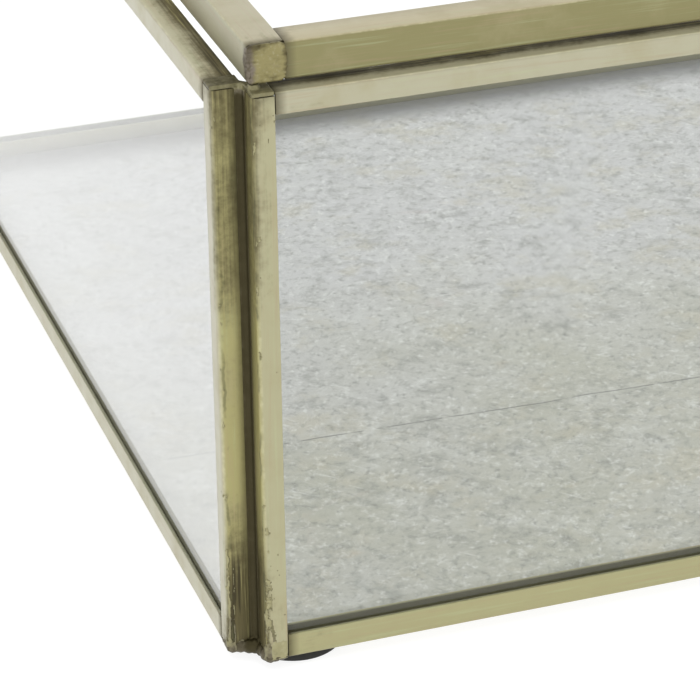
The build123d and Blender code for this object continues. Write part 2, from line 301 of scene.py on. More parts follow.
def make_strip(name, mouth, run, fold, brass, body, slot, seam_side, gap, shade=None, painted_sheen=(0, 0)):
    """One came in the place of its CAD node. mouth is the way its legs point and run its direction.
    seam_side says which edge of its web lies along a corner seam: -1 the low one, 1 the high one.
    shade gives its tarnish, and on the top rails a painted shadow, from the points' places on the web
    and legs, and the last argument says how much paler its legs and its web are painted, as painted
    sheen for the way light falls on them."""
    low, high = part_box(name)
    y_axis, z_axis = Vector(mouth), Vector(run)
    x_axis = y_axis.cross(z_axis)
    axes = (x_axis, y_axis, z_axis)
    size = [abs((high - low).dot(axis)) for axis in axes]
    corner = Vector((0, 0, 0))
    for axis in axes:
        corner += axis * min(low.dot(axis), high.dot(axis))
    width, leg, length = size[0] - 2 * STRIP_INSET, size[1] - STRIP_INSET, size[2] - 2 * gap
    seed = sum(ord(letter) * (i + 1) for i, letter in enumerate(name)) % 97 * 0.37
    values = dict(zip(STRIP_SIZES, (length, width, leg, fold, STRIP_RIPPLE, seed)), Brass=brass)
    mesh = finished(name, bpy.data.meshes.new(name), STRIP_FINISHING, values)
    points = coords(mesh)
    across, depth, along_run = points.T
    web = np.clip(1 - (depth - 0.05 * fold) / (0.5 * fold), 0, 1)
    edge = np.minimum(across, width - across)
    off_fold = np.hypot(edge - 0.25 * fold, depth - 0.25 * fold) / (0.55 * fold)
    end_far = np.minimum(along_run, length - along_run)
    reach = np.full(len(points), 0.1)
    if seam_side:
        reach = across if seam_side < 0 else width - across
    tarnish = 0.25 * np.exp(-end_far / (4 * MM))
    if shade:
        tarnish = shade(tarnish, web, across, depth, along_run, width, length)
    labels = {
        "web": web,
        "fold": np.clip(1.4 - off_fold, 0, 1),
        "cut": np.clip(1 - end_far / (0.1 * MM), 0, 1) * 0.8,
        "tarnish": np.clip(tarnish, 0, 1),
        "reach": reach,
        "inside": (edge > 0.6 * STRIP_WALL) & (depth > 0.6 * STRIP_WALL),
        "painted_sheen": painted_sheen[0] * (1 - web) + painted_sheen[1] * web,
    }
    mark(mesh, labels)
    mesh.attributes.new("strip", "FLOAT_VECTOR", "POINT").data.foreach_set("vector", points.ravel())
    smooth(mesh, 42)
    turn = Matrix(axes).transposed().to_4x4()
    start = corner + (x_axis + y_axis) * STRIP_INSET + z_axis * gap
    mesh.transform(Matrix.Translation(start) @ turn)
    return show(f"{name}_came", mesh, body, [name])


def stile_shade(tarnish, web, across, depth, along_run, width, length):
    """Burnt from the iron at both ends of a corner seam, most at the foot."""
    part = along_run / length
    web_parts, web_shades = [0, 0.12, 0.2, 0.3, 0.58, 0.68, 1], [0.95, 0.85, 0.5, 0.12, 0.1, 0.5, 0.58]
    face_parts = [0, 0.04, 0.08, 0.2, 0.35, 0.6, 0.72, 1]
    face_shades = [0.62, 0.4, 0.3, 0.2, 0.0, 0.1, 0.5, 0.45]
    on_web = np.interp(part, web_parts, web_shades)
    on_face = np.interp(part, face_parts, face_shades)
    beside = np.clip(1.25 - (depth - 0.2 * MM) / (0.9 * MM), 0, 1)
    return tarnish * 0.5 + web * on_web + (1 - web) * on_face * beside


def top_rail_shadow_and_flux(tarnish, web, across, depth, along_run, width, length):
    """Painted shadow under the lid, over flux left there: dark on the inner half of its top."""
    return tarnish + web * np.clip((0.56 * width - across) / (0.08 * width), 0, 1)


WALL_FOLD = 0.8 * MM
RAIL_FOLD = 0.35 * MM
RAIL_GAP = 0.1 * MM  # open seam between a rail's end and the stile
ALONG = {"front": (1, 0, 0), "right": (0, 1, 0), "back": (-1, 0, 0), "left": (0, -1, 0)}
UP = Vector((0, 0, 1))
for side, along in ALONG.items():
    along = Vector(along)
    # Painted sheen: the side walls' brass, the stiles and the top rails' tops are painted paler, for the
    # way light falls on them.
    wipe_marks_and_sheen = 0.8 if side in ("left", "right") else 0.0
    stile_sheen = max(wipe_marks_and_sheen, 0.3)
    members = {
        "left_stile": (along, UP, WALL_FOLD, -1, STILE_GAP, stile_shade, (stile_sheen, 0)),
        "right_stile": (-along, UP, WALL_FOLD, 1, STILE_GAP, stile_shade, (stile_sheen, 0)),
        "bottom_rail": (UP, along, RAIL_FOLD, 0, RAIL_GAP, None, (wipe_marks_and_sheen, 0)),
        "top_rail": (-UP, along, RAIL_FOLD, 0, RAIL_GAP, top_rail_shadow_and_flux, (max(wipe_marks_and_sheen, 0.65), 0.6)),
    }
    for member, (mouth, run, fold, *rest) in members.items():
        make_strip(f"{side}_{member}", mouth, run, fold, wall_brass, "base", "wall_came", *rest)

# ---------------------------------------------------------------------------------------------
# Wall panes
# Clear 3 mm float glass, cut square and slid into the came before the last stile goes on.
# The real panes are flat, clean and a little dusty, and their edges are hidden in the brass.
# ---------------------------------------------------------------------------------------------


def float_glass(name, tint, haze):
    """Clear float glass, polished by fire: smooth, barely green, with a faint wipe-mark haze. It
    lets lamp light straight through, because the panes are too thin to bend it visibly."""
    material, tree = new_material(name)
    place = add(tree, "ShaderNodeTexCoord").outputs["Object"]
    laid = {"Vector": place, "Rotation": (0.3, 0.5, 0.4), "Scale": (1, 1, 0.3)}
    wipe_marks_and_sheen = add(tree, "ShaderNodeMapping", {}, laid)
    marks = add(tree, *NOISE, {"Vector": wipe_marks_and_sheen, "Scale": 60.0, "Detail": 6.0, "Roughness": 0.7})
    rough = add(tree, *RANGE, {0: marks, 1: 0.5, 2: 0.75, 4: haze})
    body = {"Base Color": linear(tint), "Roughness": rough, "IOR": 1.5, "Transmission Weight": 1.0}
    glass = add(tree, *SURFACE, body)
    clear = add(tree, "ShaderNodeBsdfTransparent", {}, {"Color": linear("#f8f9f8")})
    paths = add(tree, "ShaderNodeLightPath").outputs
    surface = glass
    for ray, seen in (
        ("Is Glossy Ray", clear),
        ("Is Transmission Ray", glass),
        ("Is Diffuse Ray", clear),
        ("Is Shadow Ray", clear),
    ):
        surface = add(tree, "ShaderNodeMixShader", {}, {0: paths[ray], 1: surface, 2: seen})
    add(tree, "ShaderNodeOutputMaterial", {}, {"Surface": surface})
    return material


def coat(mesh, material):
    """Gives a mesh its one material."""
    mesh.materials.clear()
    mesh.materials.append(material)


wall_glass = float_glass("clear float glass, 3 mm", "#fdfefd", 0.05)
# The side panes are tinted darker than the front and back ones, as painted shade.
shaded_side_glass = float_glass("clear float glass, 3 mm, tinted as painted shade", "#eeefef", 0.05)
for side in ALONG:
    coat(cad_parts[f"{side}_glass"].data, shaded_side_glass if side in ("left", "right") else wall_glass)

# ---------------------------------------------------------------------------------------------
# Corner solder
# Where two walls meet, soft solder is run down the notch and over the stile ends with an iron.
# It sets in lumps and drips, smears onto the brass, and its flux burns to a brown-black skin.
# ---------------------------------------------------------------------------------------------


def soft_solder(name, brassy, bare, burnt):
    """Soft solder worked with an iron. Thin films of it take the brass colour beneath them, lumps
    are grey with a mauve cast, and hollows hold black-brown flux."""
    material, tree = new_material(name)
    place = add(tree, "ShaderNodeTexCoord").outputs["Object"]
    # Lumps of about 2 mm and grain of about 0.5 mm.
    lumps = add(tree, *NOISE, {"Vector": place, "Scale": 520.0, "Detail": 5.0, "Roughness": 0.65})
    grain = add(tree, *NOISE, {"Vector": place, "Scale": 1900.0, "Detail": 3.0, "Roughness": 0.6})
    hollow = add(tree, "ShaderNodeAttribute", {"attribute_name": "hollow"}).outputs["Fac"]
    film = add(tree, "ShaderNodeAttribute", {"attribute_name": "film"}).outputs["Fac"]
    patchy = add(tree, *TIMES_PLUS, {0: lumps, 1: 1.2, 2: -0.6})
    filmed = add(tree, *PLUS, {0: film, 1: patchy})
    burned = add(tree, *TIMES_PLUS, {0: lumps, 1: 0.7, 2: hollow})
    colour = linear(bare)
    for tint, kind, pattern, low, high, top in (
        (brassy, EASE, filmed, 0.25, 0.75, 1.0),
        ("#c3bfa4", RANGE, grain, 0.54, 0.74, 0.3),
        (burnt, EASE, burned, 0.35, 1.15, 0.95),
    ):
        amount = add(tree, *kind, {0: pattern, 1: low, 2: high, 4: top})
        colour = add(tree, *OVER, {0: amount, 6: colour, 7: linear(tint)})
    rough = add(tree, *RANGE, {0: lumps, 1: 0.3, 2: 0.7, 3: 0.36, 4: 0.62})
    bump = add(tree, "ShaderNodeBump", {}, {"Height": grain, "Strength": 0.4, "Distance": 0.06 * MM})
    shader = {"Base Color": colour, "Metallic": 0.75, "Roughness": rough, "Normal": bump}
    add(tree, "ShaderNodeOutputMaterial", {}, {"Surface": add(tree, *SURFACE, shader)})
    return material


corner_metal = soft_solder("soft solder, smeared over brass", "#a09b76", "#6c6554", "#3c361d")


def merged_copy(node):
    """A copy of a CAD node's mesh with its loose triangles joined."""
    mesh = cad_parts[node].data.copy()
    sewn = bmesh.new()
    sewn.from_mesh(mesh)
    bmesh.ops.remove_doubles(sewn, verts=sewn.verts, dist=0.002 * MM)
    bmesh.ops.dissolve_limit(sewn, angle_limit=math.radians(2), verts=sewn.verts, edges=sewn.edges)
    sewn.to_mesh(mesh)
    sewn.free()
    return mesh


def joined(name, meshes):
    """One mesh of several."""
    pool = bmesh.new()
    for mesh in meshes:
        pool.from_mesh(mesh)
    mesh = bpy.data.meshes.new(name)
    pool.to_mesh(mesh)
    pool.free()
    return mesh


def melt(name, meshes, voxel, rounds=4):
    """Joins meshes into one closed lump, as solder flows together, and rounds it."""
    return finished(
        name,
        joined(name, meshes),
        [
            ("REMESH", {"mode": "VOXEL", "voxel_size": voxel}),
            ("SMOOTH", {"factor": 0.5, "iterations": rounds}),
        ],
    )


def bead(middle, radii, detail=3):
    """A rounded blob of solder, to be melted into its neighbours."""
    shape = bmesh.new()
    bmesh.ops.create_icosphere(shape, subdivisions=detail, radius=1.0)
    for vert in shape.verts:
        vert.co = Vector([middle[i] + radii[i] * vert.co[i] for i in range(3)])
    mesh = bpy.data.meshes.new("bead")
    shape.to_mesh(mesh)
    shape.free()
    return mesh


def rough_field(points, scale, octaves, seed):
    """Lumpy noise, about -1 to 1, at points in millimetres."""
    shift = Vector((seed, 2 * seed, 3 * seed))
    return np.array([noise.fractal(Vector(p) * scale + shift, 0.7, 2.1, octaves) for p in points])


def dented(mesh, points, dent):
    """A mesh's points moved along its normals, by millimetres."""
    normals = np.empty(len(mesh.vertices) * 3, np.float32)
    mesh.vertex_normals.foreach_get("vector", normals)
    return points + (normals.reshape(-1, 3) * (dent * MM)[:, None]).astype(np.float32)


DAB_HEIGHT = 2.75  # of the square dab over the bottom rail's butt, in millimetres
HANG = 0.65 * MM  # how far the drips hang below the walls
SKIN = 0.12 * MM
CAME_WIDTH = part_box("front_bottom_rail")[1].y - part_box("front_bottom_rail")[0].y


def notch_path(leg_lap, face_lap, pitch):
    """The line round an outer corner, in the notch's own millimetres: up the side wall's stile, in
    along its web to the seam, out along the long wall's web and back over its face. Gives the
    points and the outward normals."""
    inset, radius = STRIP_INSET / MM, WALL_FOLD / MM
    reach = CAME_WIDTH / MM - inset
    inner = reach - radius
    fold = [(math.cos(turn), math.sin(turn)) for turn in np.linspace(0, math.pi / 2, 9)[1:-1]]
    pieces = [((reach, -inset - radius - leg_lap), (1, 0)), ((reach, -inset - radius), (1, 0))]
    pieces += [((inner + radius * x, -inset - radius + radius * y), (x, y)) for x, y in fold]
    pieces += [((inner, -inset), (0, 1)), ((0.1, -inset), (0, 1)), ((-inset, 0.1), (1, 0))]
    pieces.append(((-inset, inner), (1, 0)))
    pieces += [((-inset - radius + radius * x, inner + radius * y), (x, y)) for x, y in fold]
    pieces += [((-inset - radius, reach), (0, 1)), ((-inset - radius - face_lap, reach), (0, 1))]
    spots = np.array([p for p, _ in pieces])
    outs = np.array([n for _, n in pieces])
    far = np.concatenate([[0], np.cumsum(np.linalg.norm(np.diff(spots, axis=0), axis=1))])
    steps = np.arange(0, far[-1], pitch)
    line = np.stack([np.interp(steps, far, spots[:, i]) for i in (0, 1)], axis=1)
    normals = np.stack([np.interp(steps, far, outs[:, i]) for i in (0, 1)], axis=1)
    return line, normals / np.linalg.norm(normals, axis=1, keepdims=True)


def smear(name, to_world, seed, height):
    """Thin ragged solder on the stiles' outer faces: a skin with a lumpy height over the line round
    the notch, kept where it stands proud; its thickness into the brass is given afterwards."""
    line, normals = notch_path(0.9, 2.0, 0.11)
    rises = np.arange(0.1, height - 0.3, 0.14)
    spots = np.array([(u, v, z) for z in rises for u, v in line])
    outs = np.tile(normals, (len(rises), 1))
    u, v, z = spots.T
    coarse = rough_field(spots * (1, 1, 0.45), 1.1, 3, seed)
    fine = rough_field(spots * (1, 1, 0.8), 3.4, 2, seed + 5.3)
    wiggle = 0.16 * rough_field(np.stack([0 * z, 0 * z, z], axis=1), 0.55, 3, seed + 9.1)
    on_side = (v < 0.0).astype(float)
    on_long = 1 - on_side

    def ridge(place, middle, half):
        return np.clip(1 - np.abs(place - middle) / half, 0, 1)

    low = np.clip(1 - z / 21, 0, 1)
    foot = np.clip(1 - z / 6, 0, 1)
    rise = -0.09 + 0 * z
    # Two jagged ridges beside the side wall's outer fold, to a quarter of the height.
    rise += on_side * ridge(u, 3.62 + wiggle, 0.34) * np.clip(1.6 * low, 0, 1) * 0.25
    rise += on_side * ridge(u, 2.95 - 0.8 * wiggle, 0.26) * np.clip(1.3 * low, 0, 1) * 0.2
    # A smear on the long wall's outer fold and web, wider downward.
    smeared = ridge(v, 3.75 + wiggle, 0.5 + 0.8 * low) * (u > -0.9 - 0.9 * foot)
    rise += on_long * smeared * np.clip(1.7 * low, 0, 0.9) * 0.16
    # Small stray spots higher up, and the heavy foot.
    rise += (ridge(v, 3.7, 0.5) + ridge(u, 3.6, 0.5)) * np.clip((coarse - 0.35) * 0.5, 0, 0.1)
    rise += np.clip(1 - z / 2.4, 0, 1) * 0.22
    # The square dab over the butt of the bottom rail.
    dab = on_long * (u < -0.75) * (z < DAB_HEIGHT + 0.12 * fine)
    rise = rise + 0.06 * coarse + 0.055 * fine
    rise = np.where(dab > 0, 0.03 + 0.02 * fine, rise)
    # Nothing stands further out than the walls' own faces.
    room = np.minimum(CAME_WIDTH / MM - u, CAME_WIDTH / MM - v)
    outward = np.maximum(np.where(u > 3, outs[:, 0], 0), np.where(v > 3, outs[:, 1], 0))
    limit = np.where(outward > 0.3, (room - 0.004) / np.maximum(outward, 0.3), 0.3)
    rise = np.minimum(rise, limit)
    keep = rise > 0.004
    across = len(line)
    moved = spots.copy()
    moved[:, :2] += outs * np.maximum(rise, 0.0)[:, None]
    faces = []
    for row in range(len(rises) - 1):
        for column in range(across - 1):
            a = row * across + column
            ring = (a, a + 1, a + across + 1, a + across)
            if all(keep[i] for i in ring):
                faces.append(ring)
    used = sorted({i for face in faces for i in face})
    renumbered = {old: new for new, old in enumerate(used)}
    rings = [[renumbered[i] for i in face] for face in faces]
    mesh = bpy.data.meshes.new(name)
    mesh.from_pydata([to_world(moved[i]) for i in used], [], rings)
    mark(mesh, {"rise": np.maximum(rise, 0.0)[used], "dab": dab[used]})
    return mesh


CORNERS = {
    "front_left": ("front", "left", -1, -1),
    "front_right": ("front", "right", 1, -1),
    "back_left": ("back", "left", -1, 1),
    "back_right": ("back", "right", 1, 1),
}
for number, (corner, (long_side, short_side, out_x, out_y)) in enumerate(CORNERS.items()):
    node = f"corner_solder_{corner}"
    # The seam: the line along which the two walls' cames meet.
    rail_low, rail_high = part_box(f"{long_side}_bottom_rail")
    side_low, side_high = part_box(f"{short_side}_bottom_rail")
    seam_x = side_high.x if out_x < 0 else side_low.x
    seam_y = rail_high.y if out_y < 0 else rail_low.y
    foot_z = rail_low.z
    top_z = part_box(f"{long_side}_top_rail")[1].z
    height = (top_z - foot_z) / MM

    def to_world(spot, seam_x=seam_x, seam_y=seam_y, out_x=out_x, out_y=out_y, foot_z=foot_z):
        return (seam_x + out_x * spot[0] * MM, seam_y + out_y * spot[1] * MM, foot_z + spot[2] * MM)

    # Rounded lumps under and round the stile ends, where the solder was built up and hung.
    lumps = [merged_copy(node)]
    for u, v, z, radii in (
        (3.25, -2.1, 0.25, (0.62, 0.7, 0.6)),
        (3.2, -1.3, 0.2, (0.7, 0.7, 0.7)),
        (3.2, -0.55, 0.35, (0.78, 0.7, 0.9)),
        (2.2, -0.2, 0.4, (0.9, 0.6, 0.95)),
        (1.2, 0.1, 0.4, (0.9, 0.8, 1.05)),
        (0.5, 0.5, 0.5, (0.8, 0.8, 1.1)),
        (0.0, 1.4, 0.35, (0.7, 0.9, 0.95)),
        (-0.2, 2.5, 0.3, (0.65, 0.9, 0.9)),
        (-0.6, 3.2, 0.3, (0.7, 0.75, 0.95)),
        (-1.4, 3.3, 0.2, (0.7, 0.62, 0.75)),
        (-2.2, 3.35, 0.25, (0.6, 0.6, 0.7)),
    ):
        lumps.append(bead(to_world((u, v, z)), [r * MM for r in radii]))
    # The run of solder down the seam, hollow-faced and feathered onto both webs.
    run = bmesh.new()
    outline = (
        (-0.15, -0.15), (1.0, -0.15), (1.0, 0.04), (0.5, 0.14), (0.14, 0.5), (0.04, 1.0), (-0.15, 1.0),
    )
    base_ring = [run.verts.new(to_world((u, v, 1.0))) for u, v in outline]
    top_ring = [run.verts.new(to_world((u, v, height - 0.5))) for u, v in outline]
    run.faces.new(base_ring)
    run.faces.new(top_ring)
    for i in range(len(outline)):
        j = (i + 1) % len(outline)
        run.faces.new((base_ring[i], base_ring[j], top_ring[j], top_ring[i]))
    bmesh.ops.recalc_face_normals(run, faces=run.faces)
    run_mesh = bpy.data.meshes.new("run")
    run.to_mesh(run_mesh)
    run.free()
    lumps.append(run_mesh)
    body_mesh = melt(node, lumps, 0.12 * MM)
    points = coords(body_mesh)
    u = (points[:, 0] - seam_x) * out_x / MM
    v = (points[:, 1] - seam_y) * out_y / MM
    z = (points[:, 2] - foot_z) / MM
    dent = 0.05 * rough_field(np.stack([u, v, z * 0.7], axis=1), 1.7, 3, 3.0 + number)
    at_foot = np.clip(2.5 - z, 0, 1)
    points = dented(body_mesh, points, dent * (0.25 + at_foot))
    low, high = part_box(node)
    low.z -= HANG
    points = np.clip(points, list(low), list(high))
    body_mesh.vertices.foreach_set("co", points.ravel())
    in_notch = ((u > -0.35) & (v > -0.35)).astype(float)
    seam_near = np.clip(1.35 - np.maximum(u, v) / 1.6, 0, 1) * in_notch * np.clip(height - 0.5 - z, 0, 1)
    on_top = np.clip((z - height + 0.6) / 0.3, 0, 1)
    worn = 0.3 + 0.25 * (v < -0.2) + 2.5 * dent
    hollow = np.clip(0.9 * seam_near + 0.35 * at_foot * (1 - on_top) + worn * on_top, 0, 1)
    mark(body_mesh, {"hollow": hollow, "film": 0.6 * on_top + 0.25 * (1 - on_top) * (1 - at_foot)})

    skin = smear(f"{node}_skin", to_world, 4.7 * (number + 1), height)
    if out_x * out_y < 0:
        skin.flip_normals()
    skin = finished(f"{node}_skin", skin, [("SOLIDIFY", {"thickness": SKIN, "offset": -1.0})])
    rise, dab = (np.empty(len(skin.vertices), np.float32) for _ in range(2))
    skin.attributes["rise"].data.foreach_get("value", rise)
    skin.attributes["dab"].data.foreach_get("value", dab)
    heights = (coords(skin)[:, 2] - foot_z) / MM
    skin_labels = {
        "hollow": np.clip(0.62 - rise / 0.09, 0, 1) * (1 - 0.75 * dab),
        "film": np.clip(0.35 + 0.3 * heights / 6 + 0.45 * dab, 0, 0.95),
    }
    mark(skin, skin_labels)
    mesh = joined(node, [body_mesh, skin])
    smooth(mesh)
    coat(mesh, corner_metal)
    show(f"{node}_run", mesh, "base", [node])

# ---------------------------------------------------------------------------------------------
# Floor sheet
# One sheet of galvanised zinc between the walls, laid on the feet and tacked at the corners.
# The zinc bath leaves cloudy grey bloom, and wear adds fine wipe strokes and one long scratch.
# ---------------------------------------------------------------------------------------------
zinc, tree = new_material("galvanised zinc sheet, weathered")
place = add(tree, "ShaderNodeTexCoord").outputs["Object"]
back_far, edge_far, scratch = (
    add(tree, "ShaderNodeAttribute", {"attribute_name": label}).outputs["Fac"]
    for label in ("back_far", "edge_far", "scratch")
)
# The patterns, each with its scale, its stretch along its own turned X, the turn, and its detail,
# roughness and distortion: tone of some 40 mm, soft patches of 3 to 10 mm, grain of about 1 mm,
# smudges and stains of 2 to 6 mm, and breaks in the long scratch.
patterns = {
    "tone": (24.0, 1.0, 0.0, 2.0, 0.6, 0.0),
    "patches": (150.0, 0.9, 0.6, 7.0, 0.72, 0.0),
    "dark_patches": (230.0, 0.8, -0.5, 7.0, 0.75, 0.0),
    "warm_patches": (120.0, 0.8, -0.2, 5.0, 0.65, 0.0),
    "dark_grain": (700.0, 0.9, 0.8, 5.0, 0.75, 0.0),
    "pale_grain": (900.0, 0.9, 1.1, 4.0, 0.7, 0.0),
    "smudges": (120.0, 0.5, 0.1, 3.0, 0.6, 0.5),
    "brass_stains": (75.0, 0.6, -0.2, 3.0, 0.6, 0.3),
    "rosy_stains": (68.0, 0.6, 0.4, 3.0, 0.6, 0.3),
    "wobble": (60.0, 1.0, 0.0, 2.0, 0.6, 0.0),
    "breaks": (210.0, 1.0, 0.0, 3.0, 0.6, 0.0),
}
# Fine rubbed scratches, 0.2 to 0.4 mm wide and 3 to 6 mm long, mostly slanting, in patches.
rubbed = ((-0.8, 1900.0, "#eceded", 0.3), (-1.0, 1700.0, "#6f716b", 0.3))
rubbed += ((0.15, 1900.0, "#dfe0dc", 0.25), (0.7, 1700.0, "#787a73", 0.25))
for turn, scale, tint, top in rubbed:
    patterns[f"strokes {tint}"] = (scale, 0.09, turn, 2.0, 0.5, 0.0)
    patterns[f"gathered {tint}"] = (70.0 + 9 * turn, 1.0, turn, 2.0, 0.6, 0.0)
seen = {}
for pattern, (scale, stretch, turn, detail, roughness, distortion) in patterns.items():
    laid = {"Vector": place, "Rotation": (0, 0, turn), "Scale": (1 / stretch, 1, 1)}
    laid = add(tree, "ShaderNodeMapping", {"vector_type": "TEXTURE"}, laid)
    kind = {"Detail": detail, "Roughness": roughness, "Distortion": distortion, "Scale": scale}
    seen[pattern] = add(tree, *NOISE, {"Vector": laid, **kind})

# Warm grey to cool grey at random, and cooler and paler towards the back as painted light.
painted_light_to_back = add(tree, *EASE, {0: back_far, 1: 0.15, 2: 0.0, 4: 0.55})
cool = add(tree, *TIMES_PLUS, {0: seen["tone"], 1: 0.9, 2: painted_light_to_back})
cool = add(tree, *EASE, {0: cool, 1: 0.3, 2: 0.95})
colour = add(tree, *OVER, {0: cool, 6: linear("#abab9e"), 7: linear("#bfbfc0")})
# Each layer over the last: its colour, its pattern, where it starts and is full, how strong it
# is then, and where it is gathered. The last two are painted shade: a painted shadow along the
# back edge and painted shade along all the walls.
layers = [
    ("#cfd0cd", seen["patches"], 0.46, 0.74, 0.5, None),
    ("#6f716a", seen["dark_patches"], 0.48, 0.7, 0.5, None),
    ("#b3ad97", seen["warm_patches"], 0.5, 0.68, 0.45, None),
    ("#6a6c66", seen["dark_grain"], 0.48, 0.7, 0.55, None),
    ("#e9eae8", seen["pale_grain"], 0.5, 0.72, 0.42, None),
]
for turn, scale, tint, top in rubbed:
    gathered = add(tree, *EASE, {0: seen[f"gathered {tint}"], 1: 0.45, 2: 0.65})
    layers.append((tint, seen[f"strokes {tint}"], 0.6, 0.75, top, gathered))
layers += [
    ("#75776f", seen["smudges"], 0.67, 0.78, 0.5, None),
    ("#b9a27f", seen["brass_stains"], 0.66, 0.78, 0.35, None),
    ("#b59a94", seen["rosy_stains"], 0.66, 0.76, 0.3, None),
    # Painted shadow along the back edge, and painted shade along every wall.
    ("#4f5055", back_far, 11.0 * MM, 0.5 * MM, 0.85, None),
    ("#85867f", edge_far, 4.0 * MM, 0.0, 0.4, None),
]
# One long scratch, nearly along the sheet.
off_line = add(tree, *TIMES_PLUS, {0: seen["wobble"], 1: 1.4 * MM, 2: scratch})
off_line = add(tree, *SIZE_OF, {0: off_line})
broken = add(tree, *EASE, {0: seen["breaks"], 1: 0.38, 2: 0.5})
layers.append(("#5d5f5a", off_line, 0.22 * MM, 0.06 * MM, 0.75, broken))
for tint, pattern, low, high, top, only in layers:
    amount = add(tree, *EASE, {0: pattern, 1: low, 2: high, 4: top})
    if only:
        amount = add(tree, *TIMES, {0: amount, 1: only})
    colour = add(tree, *OVER, {0: amount, 6: colour, 7: linear(tint)})
rough = add(tree, *RANGE, {0: seen["patches"], 1: 0.3, 2: 0.7, 3: 0.4, 4: 0.56})
bumps = {"Height": seen["patches"], "Strength": 0.2, "Distance": 0.04 * MM}
bump = add(tree, "ShaderNodeBump", {}, bumps)
shader = {"Base Color": colour, "Metallic": 0.4, "Roughness": rough, "Normal": bump}
add(tree, "ShaderNodeOutputMaterial", {}, {"Surface": add(tree, *SURFACE, shader)})

# The sheet itself: cut edges eased, and waves of a few hundredths of a millimetre from rolling.
WAVE_STEP = 4 * MM
WAVE_MOST = 0.09  # in millimetres, so that the sheet never stands above its CAD node
SCRATCH_START, SCRATCH_SLOPE = Vector((-0.0937, -0.0345)), -0.024
sheet_low, sheet_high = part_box("zinc_floor")
sheet = bmesh.new()
sheet.from_mesh(merged_copy("zinc_floor"))
for axis in (0, 1):
    normal = Vector((1 - axis, axis, 0))
    for cut in np.arange(sheet_low[axis] + WAVE_STEP, sheet_high[axis] - 0.5 * WAVE_STEP, WAVE_STEP):
        everything = sheet.verts[:] + sheet.edges[:] + sheet.faces[:]
        bmesh.ops.bisect_plane(sheet, geom=everything, plane_co=normal * float(cut), plane_no=normal)
sheet_mesh = bpy.data.meshes.new("zinc_sheet")
sheet.to_mesh(sheet_mesh)
sheet.free()
points = coords(sheet_mesh)
flat = points / MM * (1, 1, 0)
wave = 0.05 * rough_field(flat, 0.035, 2, 50.0) + 0.015 * rough_field(flat, 0.11, 2, 57.0)
on_top = points[:, 2] > (sheet_low.z + sheet_high.z) / 2
points[:, 2] += (np.clip(wave, -WAVE_MOST, WAVE_MOST) - WAVE_MOST) * MM * on_top
sheet_mesh.vertices.foreach_set("co", points.ravel())
eased = {"width": 0.12 * MM, "segments": 2, "limit_method": "ANGLE", "angle_limit": math.radians(35)}
sheet_mesh = finished("zinc_sheet", sheet_mesh, [("BEVEL", eased)])
points = coords(sheet_mesh)
from_sides = np.minimum(points[:, 0] - sheet_low.x, sheet_high.x - points[:, 0])
from_ends = np.minimum(points[:, 1] - sheet_low.y, sheet_high.y - points[:, 1])
scratch_y = SCRATCH_START.y + SCRATCH_SLOPE * (points[:, 0] - SCRATCH_START.x) + 0.7 * MM
sheet_labels = {
    "back_far": sheet_high.y - points[:, 1],
    "edge_far": np.minimum(from_sides, from_ends),
    "scratch": points[:, 1] - scratch_y,
}
mark(sheet_mesh, sheet_labels)
smooth(sheet_mesh, 30)
coat(sheet_mesh, zinc)
show("zinc_sheet", sheet_mesh, "base", ["zinc_floor"])
# ---------------------------------------------------------------------------------------------
# Feet
# Four round pads punched from black rubber sheet and stuck under the corners. Their edge is
# cut a little barrel-shaped by the punch, and the skin is matte with dust in its grain.
# ---------------------------------------------------------------------------------------------
rubber, tree = new_material("black rubber sheet, matte")
place = add(tree, "ShaderNodeTexCoord").outputs["Object"]
grain = add(tree, *NOISE, {"Vector": place, "Scale": 2500.0, "Detail": 3.0})
dust = add(tree, *NOISE, {"Vector": place, "Scale": 350.0, "Detail": 4.0})
dusted = add(tree, *RANGE, {0: dust, 1: 0.5, 2: 0.75, 4: 0.35})
colour = add(tree, *OVER, {0: dusted, 6: linear("#16150f"), 7: linear("#3b3a34")})
rough = add(tree, *RANGE, {0: dust, 3: 0.62, 4: 0.85})
bump = add(tree, "ShaderNodeBump", {}, {"Height": grain, "Strength": 0.4, "Distance": 0.05 * MM})
shader = add(tree, *SURFACE, {"Base Color": colour, "Roughness": rough, "Normal": bump})
add(tree, "ShaderNodeOutputMaterial", {}, {"Surface": shader})


def soften(node, width, finish, body, suffix):
    """A CAD node's shape with its edges broken, in a finish of its own."""
    bevel = {"width": width, "segments": 3, "limit_method": "ANGLE", "angle_limit": math.radians(30)}
    made = finished(node, merged_copy(node), [("BEVEL", bevel)])
    smooth(made, 35)
    coat(made, finish)
    return show(f"{node}_{suffix}", made, body, [node])


for corner in CORNERS:
    soften(f"foot_{corner}", 0.25 * MM, rubber, "base", "pad")

# ---------------------------------------------------------------------------------------------
# Hinges
# Two hinges on the back edge: short drawn brass tubes soldered by turns to the wall and to the
# lid, with a brass rod through them whose ends are peened over into heads.
# ---------------------------------------------------------------------------------------------
tube_brass, tree = new_material("drawn brass tube, dulled")
place = add(tree, "ShaderNodeTexCoord").outputs["Object"]
clouds = add(tree, *NOISE, {"Vector": place, "Scale": 260.0, "Detail": 5.0, "Roughness": 0.65})
turned = add(tree, "ShaderNodeMapping", {}, {"Vector": place, "Scale": (0.06, 1.0, 1.0)})
lines = add(tree, *NOISE, {"Vector": turned, "Scale": 3200.0, "Detail": 3.0})
dull = add(tree, *RANGE, {0: clouds, 1: 0.4, 2: 0.65, 4: 0.75})
colour = add(tree, *OVER, {0: dull, 6: linear("#b3ad83"), 7: linear("#77704d")})
rough = add(tree, *RANGE, {0: clouds, 1: 0.3, 2: 0.7, 3: 0.26, 4: 0.5})
